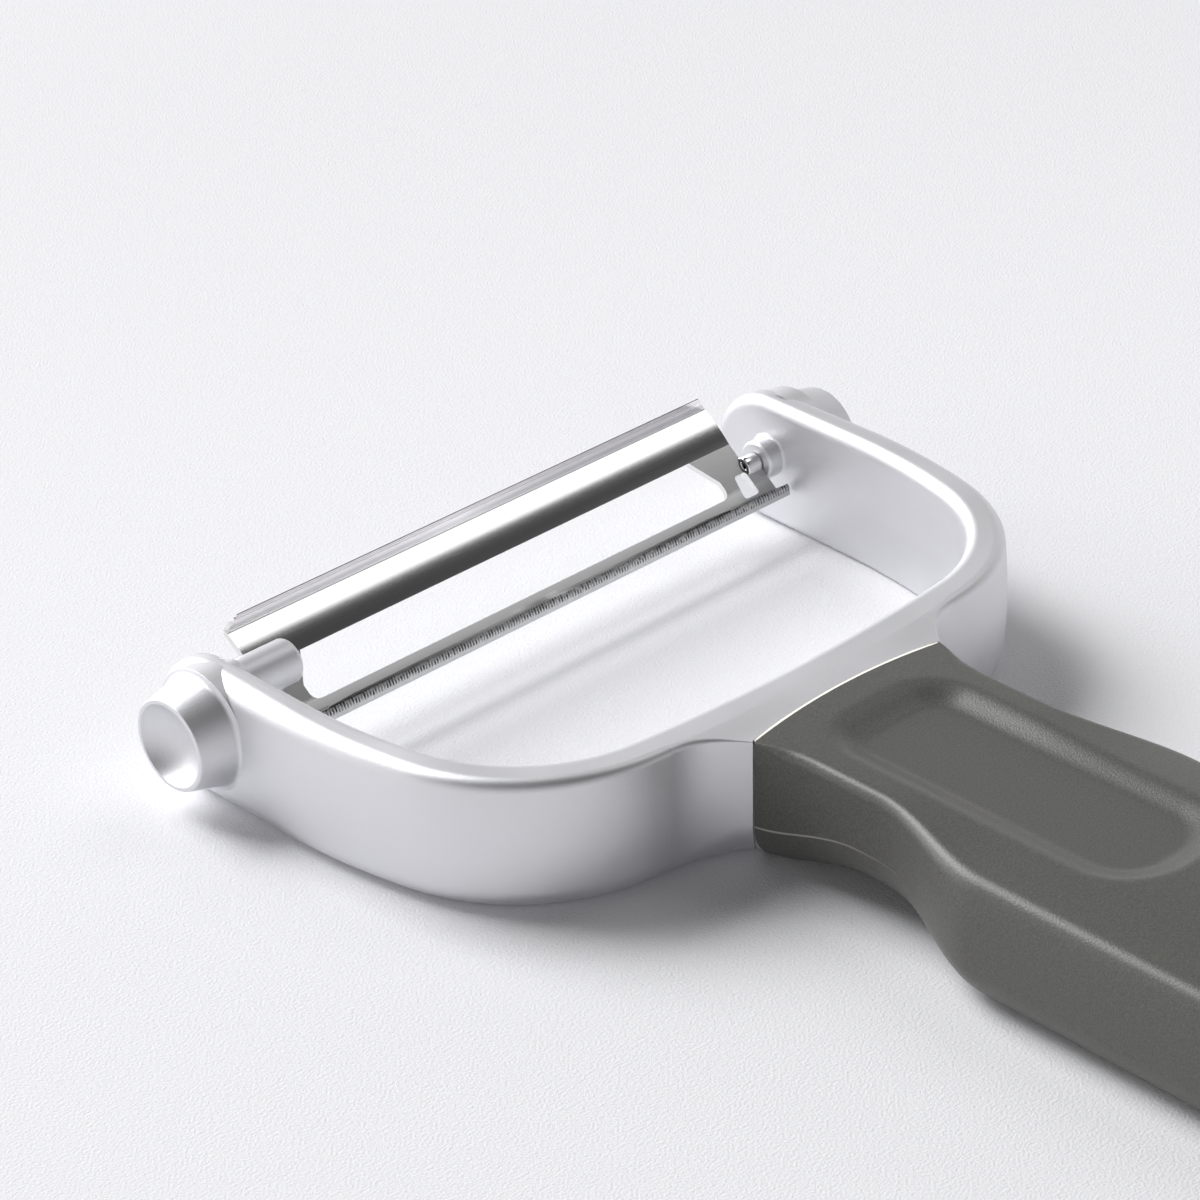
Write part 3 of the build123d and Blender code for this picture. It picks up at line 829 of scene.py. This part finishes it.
# The wall falls from this far outside the hollow's outline to this far inside it.
wall_outside = 0.7
wall_inside = 2.3


def hollow(x, y, z):
    """Depth of the thumb hollow under a point of the top. The distance to a rectangle with rounded corners,
    negative inside it, goes through a smooth step, so the wall falls over its whole width."""
    behind = joint_y - recess_start - y
    from_middle = behind - recess_length / 2
    radius = np.where(from_middle < 0, recess_front_radius, recess_rear_radius)
    over_x = np.abs(x) - (recess_half_width - radius)
    over_y = np.abs(from_middle) - (recess_length / 2 - radius)
    beyond_corner = np.hypot(np.maximum(over_x, 0), np.maximum(over_y, 0))
    outside = beyond_corner + np.minimum(np.maximum(over_x, over_y), 0) - radius
    floor = top_z - recess_depth
    wall = ease(-outside, -wall_outside, wall_inside)
    return np.where(z > middle_z, (z - floor) * wall, 0)


# %% Grip
# Rows stand close together over this length from the joint, which holds the hollow, and wide apart after it.
fine_length = 36.0
fine_rows = 110
other_rows = 60
end_rows = 65
# The bow of the joint's face fades out over this length.
bow_length = 8.0


def grip_shell():
    """Stations close together at the joint and at the hollow and wide apart after it, then the round end."""
    near = np.linspace(0, fine_length / handle_length, fine_rows)
    after = np.linspace(fine_length / handle_length, end_centre_share, other_rows)[1:]
    place = np.concatenate([near, after])
    x, z = right_outline(place)
    x = np.hstack([x, -x[:, -2:0:-1]])
    z = np.hstack([z, z[:, -2:0:-1]])
    y = joint_y - place[:, None] * handle_length + 0 * x
    bow = joint_bow(x)
    y = y + bow * np.clip(1 - place[:, None] * handle_length / bow_length, 0, 1)
    z = z - hollow(x, y, z)
    run = np.stack([x, y, z], axis=-1)
    face = run[0] * (0, 1, 0) + (0, 0, middle_z)
    ring_x, ring_z = right_outline(np.array([end_centre_share]))
    swing = np.linspace(0, np.pi, end_rows)[:, None]
    end = np.stack([ring_x * np.cos(swing), end_centre_y - ring_x * np.sin(swing),
                    np.broadcast_to(ring_z, (end_rows, ring_z.shape[1]))], axis=-1)
    return together([grid(np.concatenate([face[None], run]), close_columns=True), grid(end)])


grip = finished("soft_handle", [grip_shell()], "head_and_handle", ["soft_grip"],
                sharp_degrees=50)

# %% [markdown]
# A hook goes through the round hole near the handle's end. The hole could be part of the section's formula,
# but then every row of the grip would have to bend round it. A boolean cut with a turned cutter leaves the
# grip's rows as they are, and the flared ends of the cutter give the hole its rounded rims.

# %% Hanging hole
hole_radius = 4.0
hole_from_end = 9.5
hole_flare = 0.45
hole_flare_height = 1.2
hole_overrun = 1.0
hole_rows = 61
hole_columns = 64
hole_sharp_degrees = 40


def hole_cutter():
    """A turned cutter for the hanging hole. Near both faces its radius grows by flare * height^2, so the cut
    leaves rounded edges."""
    half = frame_height / 2
    rise = np.linspace(-half - hole_overrun, half + hole_overrun, hole_rows)
    over = np.maximum(np.abs(rise) - (half - hole_flare_height), 0)
    radius = hole_radius + hole_flare * over**2
    turn = np.linspace(0, 2 * np.pi, hole_columns, endpoint=False)[:, None]
    y = handle_end_y + hole_from_end
    points = np.stack([radius * np.sin(turn), y + radius * np.cos(turn),
                       np.broadcast_to(middle_z + rise, (hole_columns, hole_rows))], axis=-1)
    rims = [points[:, k] for k in (0, -1)]
    caps = [grid(np.stack([rim, np.broadcast_to(rim.mean(axis=0), rim.shape)]), close_columns=True)
            for rim in rims]
    points, faces = together([grid(points, close_rows=True)] + caps)
    mesh = bpy.data.meshes.new("hole_cutter")
    mesh.from_pydata(points * MILLIMETRE + pivot, [], faces)
    weld_and_turn(mesh)
    return bpy.data.objects.new("hole_cutter", mesh)


cutter = hole_cutter()
bpy.context.scene.collection.objects.link(cutter)
cut = grip.modifiers.new("hanging_hole", "BOOLEAN")
cut.operation = "DIFFERENCE"
cut.object = cutter
cut.solver = "EXACT"
bpy.context.view_layer.update()
cut_mesh = bpy.data.meshes.new_from_object(grip.evaluated_get(bpy.context.evaluated_depsgraph_get()))
grip.modifiers.clear()
grip.data = cut_mesh
grip.data.shade_smooth()
grip.data.set_sharp_from_angle(angle=radians(hole_sharp_degrees))
bpy.data.objects.remove(cutter)
print("handle with its hole:", len(grip.data.polygons), "faces")

# %% [markdown]
# Materials. Metals are a Principled surface with full metallic. The casting is satin: it is rough, and a fine
# grain in its height breaks up the reflections. The blade is polished along its length, so its grain is a
# noise that is stretched along X. The grip is matt with a fine speckle. A picture wrapped round each piece
# could show all this, but noise on Object coordinates has no seams and stays sharp close up.

# %% Node helpers


def material(name):
    """A new node material and its Principled shader."""
    made = bpy.data.materials.new(name)
    made.use_nodes = True
    return made, made.node_tree.nodes, made.node_tree.links, made.node_tree.nodes["Principled BSDF"]


def grain(nodes, links, scale, stretch=(1, 1, 1), detail=3.0):
    """Noise on Object coordinates, finer for a larger scale, stretched by dividing its scale per axis."""
    place = nodes.new("ShaderNodeTexCoord")
    mapping = nodes.new("ShaderNodeMapping")
    mapping.inputs["Scale"].default_value = stretch
    noise = nodes.new("ShaderNodeTexNoise")
    noise.inputs["Scale"].default_value = scale
    noise.inputs["Detail"].default_value = detail
    links.new(place.outputs["Object"], mapping.inputs["Vector"])
    links.new(mapping.outputs["Vector"], noise.inputs["Vector"])
    return noise


def ramp(nodes, links, source, stops):
    """A colour ramp from a value: each stop is a place and a grey or a colour."""
    made = nodes.new("ShaderNodeValToRGB")
    for element, (place, colour) in zip(made.color_ramp.elements, stops[:2]):
        element.position, element.color = place, colour
    for place, colour in stops[2:]:
        made.color_ramp.elements.new(place).color = colour
    links.new(source, made.inputs["Fac"])
    return made


def grey(value):
    """A grey of one brightness as a colour."""
    return (value, value, value, 1)


def bump(nodes, links, source, distance, strength=1.0):
    """A bump node from a height, with its depth in millimetres."""
    made = nodes.new("ShaderNodeBump")
    made.inputs["Distance"].default_value = distance * MILLIMETRE
    made.inputs["Strength"].default_value = strength
    links.new(source, made.inputs["Height"])
    return made


# %% Satin casting


def satin_casting():
    """Grey metal with a fine blasted grain and a slow change of roughness."""
    made, nodes, links, shader = material("satin_casting")
    shader.inputs["Metallic"].default_value = 1
    fine = grain(nodes, links, 5200)
    slow = grain(nodes, links, 90, detail=2)
    tone = ramp(nodes, links, slow.outputs["Fac"],
                [(0.3, (0.73, 0.73, 0.755, 1)), (0.7, (0.77, 0.77, 0.795, 1))])
    rough = ramp(nodes, links, slow.outputs["Fac"], [(0.3, grey(0.47)), (0.7, grey(0.53))])
    links.new(tone.outputs["Color"], shader.inputs["Base Color"])
    links.new(rough.outputs["Color"], shader.inputs["Roughness"])
    links.new(bump(nodes, links, fine.outputs["Fac"], 0.012).outputs["Normal"], shader.inputs["Normal"])
    return made


def bare_metal():
    """Bright warm metal of the bare line along the joint."""
    made, nodes, links, shader = material("bare_metal")
    shader.inputs["Metallic"].default_value = 1
    shader.inputs["Base Color"].default_value = (0.95, 0.91, 0.84, 1)
    shader.inputs["Roughness"].default_value = 0.3
    return made


head.data.materials.append(satin_casting())
joint_edge.data.materials.append(bare_metal())
print("metal of the head:", head.data.materials[0].name, joint_edge.data.materials[0].name)

# %% Helpers for patterns


def calculated(nodes, links, operation, first, second=None, third=None):
    """A math node's output: each input is a number or another node's output."""
    made = nodes.new("ShaderNodeMath")
    made.operation = operation
    for socket, value in zip(made.inputs, (first, second, third)):
        if isinstance(value, (int, float)):
            socket.default_value = value
        elif value is not None:
            links.new(value, socket)
    return made.outputs["Value"]


def placed(nodes, links, across, up, ahead, direction):
    """Distance in millimetres along a direction from a point given about the pivot axis."""
    place = nodes.new("ShaderNodeTexCoord")
    move = nodes.new("ShaderNodeVectorMath")
    move.operation = "SUBTRACT"
    move.inputs[1].default_value = pivot + np.array([across, ahead, up]) * MILLIMETRE
    links.new(place.outputs["Object"], move.inputs[0])
    dot = nodes.new("ShaderNodeVectorMath")
    dot.operation = "DOT_PRODUCT"
    dot.inputs[1].default_value = np.array(direction) / MILLIMETRE
    links.new(move.outputs["Vector"], dot.inputs[0])
    return dot.outputs["Value"]


def stepped(nodes, links, value, start, end):
    """Smooth step of a value: 0 at the start and 1 at the end."""
    made = nodes.new("ShaderNodeMapRange")
    made.interpolation_type = "SMOOTHSTEP"
    made.inputs["From Min"].default_value = start
    made.inputs["From Max"].default_value = end
    links.new(value, made.inputs["Value"])
    return made.outputs["Result"]


def blended(nodes, links, factor, first, second):
    """Colour between the first, another node's output, and the second, a constant colour."""
    made = nodes.new("ShaderNodeMix")
    made.data_type = "RGBA"
    links.new(factor, made.inputs["Factor"])
    links.new(first, made.inputs["A"])
    made.inputs["B"].default_value = second
    return made.outputs["Result"]


# %% Polished steel
# Round the ridge of the rear rail painted shade darkens the notches out to this distance, with a soft edge.
notch_shade_reach = 0.36
notch_shade_softness = 0.05


def polished_steel(name, tone_low, tone_high, roughness):
    """Bright steel with fine lines along X."""
    made, nodes, links, shader = material(name)
    shader.inputs["Metallic"].default_value = 1
    lines = grain(nodes, links, 4000, (0.01, 1, 1))
    tone = ramp(nodes, links, lines.outputs["Fac"], [(0.3, grey(tone_low)), (0.7, grey(tone_high))])
    links.new(tone.outputs["Color"], shader.inputs["Base Color"])
    shader.inputs["Roughness"].default_value = roughness
    return made, nodes, links, shader, tone


def blade_steel():
    """Polished steel whose rear rail is ground rougher and greyer. In a narrow band round the toothed bend
    every notch gets painted shade, nearly black: it lies where x / pitch is half way between whole numbers,
    and a noise makes the painted shade of some notches weaker than of others. Above its crease the lip is
    painted nearly white, a painted reflection of the bright table."""
    made, nodes, links, shader, tone = polished_steel("blade_steel", 0.80, 0.85, 0.16)
    along = placed(nodes, links, 0, 0, 0, (0, cos(blade_tilt), sin(blade_tilt)))
    ground = stepped(nodes, links, along, slot_rear_along + 0.5, slot_rear_along - 0.1)
    rough = calculated(nodes, links, "MULTIPLY_ADD", ground, 0.16, 0.16)
    links.new(rough, shader.inputs["Roughness"])
    middle = blade_point(ridge_along, blade_rise)
    beside = placed(nodes, links, 0, middle[1], middle[0], (0, 1, 0))
    above = placed(nodes, links, 0, middle[1], middle[0], (0, 0, 1))
    reach = calculated(nodes, links, "SQRT", calculated(nodes, links, "ADD",
                       calculated(nodes, links, "MULTIPLY", beside, beside),
                       calculated(nodes, links, "MULTIPLY", above, above)))
    # Painted shade: the notches round the bend are darkened in colour in place of the shadow inside them.
    near = stepped(nodes, links, reach, notch_shade_reach + notch_shade_softness, notch_shade_reach - notch_shade_softness)
    across = placed(nodes, links, 0, 0, 0, (1 / tooth_pitch, 0, 0))
    cycle = calculated(nodes, links, "FRACT", across)
    off = calculated(nodes, links, "ABSOLUTE", calculated(nodes, links, "SUBTRACT", cycle, 0.5))
    notch = stepped(nodes, links, off, 0.36, 0.22)
    fall = stepped(nodes, links, along, slot_rear_along + 0.1, ridge_along + 0.35)
    dulled = calculated(nodes, links, "MULTIPLY", fall, 0.75)
    greyed = blended(nodes, links, dulled, tone.outputs["Color"], grey(0.54))
    # Painted light: the lip above the crease is made nearly white, standing in for the bright table that it
    # reflects.
    lip = stepped(nodes, links, along, rail_front + 0.2, rail_front + 0.3)
    painted_lip_light = blended(nodes, links, lip, greyed, (1, 0.97, 0.98, 1))
    uneven = stepped(nodes, links, grain(nodes, links, 2600).outputs["Fac"], 0.36, 0.62)
    depth = calculated(nodes, links, "MULTIPLY_ADD", uneven, 0.65, 0.25)
    painted_notch_shade = calculated(nodes, links, "MULTIPLY", near, notch)
    teeth = calculated(nodes, links, "MULTIPLY", painted_notch_shade, depth)
    # The nearly black grey is the painted shade of the notches.
    links.new(blended(nodes, links, teeth, painted_lip_light, grey(0.03)), shader.inputs["Base Color"])
    return made


blade.data.materials.append(blade_steel())
for each_pin in (pin_right, pin_left):
    each_pin.data.materials.append(polished_steel("pin_steel", 0.68, 0.75, 0.2)[0])
print("steel:", blade.data.materials[0].name, pin_right.data.materials[0].name)

# %% Grip and core
# The parting line of the grip's mould fades out at this distance behind the joint.
seam_end = 16.0


def speckled_plastic(name, dark, light, roughness, depth):
    """Matt plastic with a fine speckle in colour and height."""
    made, nodes, links, shader = material(name)
    fine = grain(nodes, links, 6500, detail=3)
    tone = ramp(nodes, links, fine.outputs["Fac"], [(0.35, dark), (0.7, light)])
    links.new(tone.outputs["Color"], shader.inputs["Base Color"])
    shader.inputs["Roughness"].default_value = roughness
    links.new(bump(nodes, links, fine.outputs["Fac"], depth).outputs["Normal"], shader.inputs["Normal"])
    return made, nodes, links, shader, tone


def grip_plastic():
    """The grip's speckled plastic with the parting line of its mould on each side: a fine light line that
    keeps to the start of the lower rounding, follows the scallop and fades behind it."""
    dark, light = (0.075, 0.075, 0.069, 1), (0.112, 0.111, 0.102, 1)
    made, nodes, links, shader, tone = speckled_plastic("soft_grip", dark, light, roughness=0.38, depth=0.02)
    behind = placed(nodes, links, 0, 0, joint_y, (0, -1, 0))
    height = placed(nodes, links, 0, floor_z + bottom_radius, 0, (0, 0, 1))
    lift = stepped(nodes, links, behind, 0, scallop_in_shares[1] * handle_length)
    scalloped = calculated(nodes, links, "MULTIPLY", lift, grip_scallop)
    line = calculated(nodes, links, "SUBTRACT", height, scalloped)
    off = calculated(nodes, links, "ABSOLUTE", line)
    thin = stepped(nodes, links, off, 0.11, 0.04)
    strength = calculated(nodes, links, "MULTIPLY", thin, stepped(nodes, links, behind, seam_end, 0))
    links.new(blended(nodes, links, strength, tone.outputs["Color"], (0.36, 0.35, 0.33, 1)),
              shader.inputs["Base Color"])
    return made


grip.data.materials.append(grip_plastic())
core = frame["nodes"]["handle_core"]
core.data.materials.clear()
core_finish = speckled_plastic("core_plastic", grey(0.02), grey(0.03), roughness=0.5, depth=0.01)
core.data.materials.append(core_finish[0])
print("plastic:", grip.data.materials[0].name, core.data.materials[0].name)

# %% [markdown]
# The table is a wide pale sheet with a fine paper grain, with painted shade that makes it a little darker
# towards the back, against the stronger light of the key lamp there. The light is a studio's: a large soft
# lamp behind the peeler on the left, a small one high on the right, a low one behind on the left, and a
# bright even surround that is darker overhead, which gives the metal its light and dark bands. A picture of
# a studio could light the metal too, but lamps and a few greys are easy to follow.

# %% Table
table_half_side = 2.0
# Painted shade: the sheet darkens by this share over these distances from the pivot axis, in millimetres.
shade_share = 0.12
shade_start = -30
shade_end = 150


def table():
    """A flat sheet at height zero, with the grain of paper in its colour and its height, and painted shade
    that darkens its colour towards the back.
    """
    side = table_half_side
    points = [(-side, -side, 0), (side, -side, 0), (side, side, 0), (-side, side, 0)]
    mesh = bpy.data.meshes.new("table")
    mesh.from_pydata(points, [], [(0, 1, 2, 3)])
    sheet = bpy.data.objects.new("table", mesh)
    bpy.context.scene.collection.objects.link(sheet)
    made, nodes, links, shader = material("pale_paper_with_painted_shade")
    paper = grain(nodes, links, 4200, detail=4)
    tone = ramp(nodes, links, paper.outputs["Fac"],
                [(0.3, (0.835, 0.835, 0.86, 1)), (0.7, (0.86, 0.86, 0.885, 1))])
    # Painted shade towards the back of the sheet, against the key lamp's stronger light there.
    painted_shade_ramp = stepped(nodes, links, placed(nodes, links, 0, 0, 0, (0.45, 0.89, 0)), shade_start, shade_end)
    shade = calculated(nodes, links, "MULTIPLY", painted_shade_ramp, shade_share)
    links.new(blended(nodes, links, shade, tone.outputs["Color"], grey(0)), shader.inputs["Base Color"])
    shader.inputs["Roughness"].default_value = 0.9
    shader.inputs["Specular IOR Level"].default_value = 0.1
    links.new(bump(nodes, links, paper.outputs["Fac"], 0.07).outputs["Normal"], shader.inputs["Normal"])
    mesh.materials.append(made)
    print("table", 2 * side, "m wide")


table()

# %% Lamps


def soft_lamp(name, offset, facing, size, power):
    """A square area lamp at an offset from the middle of the head, facing a direction."""
    lamp = bpy.data.lights.new(name, "AREA")
    lamp.shape = "SQUARE"
    lamp.size = size
    lamp.energy = power
    holder = bpy.data.objects.new(name, lamp)
    holder.location = Vector(pivot) + Vector(offset)
    holder.rotation_euler = Vector(facing).to_track_quat("-Z", "Y").to_euler()
    bpy.context.scene.collection.objects.link(holder)
    print(name, "lamp", size, "m wide,", power, "W")


soft_lamp("key", offset=(-0.28, 1.18, 1.18), facing=(0.28, -1.18, -1.18), size=0.95, power=32.0)
soft_lamp("overhead", offset=(0.52, -0.05, 0.70), facing=(-0.3, 0, -1), size=0.42, power=0.85)
soft_lamp("low", offset=(-0.42, 0.95, 0.26), facing=(0.42, -0.95, -0.26), size=0.5, power=2.4)

# %% Surround


def surround():
    """World light by height above the horizon: bright near it, darker overhead, and weaker from the side of
    the handle."""
    world = bpy.data.worlds.new("surround")
    bpy.context.scene.world = world
    world.use_nodes = True
    nodes, links = world.node_tree.nodes, world.node_tree.links
    place = nodes.new("ShaderNodeTexCoord")
    split = nodes.new("ShaderNodeSeparateXYZ")
    links.new(place.outputs["Generated"], split.inputs["Vector"])
    stops = [(0.0, grey(1.0)), (0.3, grey(0.95)), (0.5, grey(0.53)), (0.62, grey(0.07)), (1.0, grey(0.06))]
    tone = ramp(nodes, links, split.outputs["Z"], stops)
    front = stepped(nodes, links, split.outputs["Y"], -0.8, 0.4)
    links.new(tone.outputs["Color"], nodes["Background"].inputs["Color"])
    strength = calculated(nodes, links, "MULTIPLY_ADD", front, 0.27, 0.66)
    links.new(strength, nodes["Background"].inputs["Strength"])
    print("surround in", len(stops), "greys")


surround()

# %% [markdown]
# The camera stands to the left, beside the handle, and looks down over the head through a long lens. Its
# place comes from the perspective of the photograph, worked out against the sizes of the part.

# %% Camera
camera_offset = np.array([-0.209364, -0.231593, 0.175972])
camera_right = (0.71928, -0.69443, -0.02010)
camera_up = (0.35690, 0.34455, 0.86828)
camera_forward = (0.59604, 0.63170, -0.49567)
lens_data = bpy.data.cameras.new("view")
lens_data.lens = 135.726
lens_data.sensor_width = 36.0
lens_data.clip_start = 0.01
camera = bpy.data.objects.new("view", lens_data)
turned_axes = Matrix([camera_right, camera_up, [-part for part in camera_forward]]).transposed()
camera.matrix_world = Matrix.Translation(Vector(pivot + camera_offset)) @ turned_axes.to_4x4()
bpy.context.scene.collection.objects.link(camera)
bpy.context.scene.camera = camera
bpy.context.scene.view_settings.view_transform = "Standard"
print("camera at", camera.location)
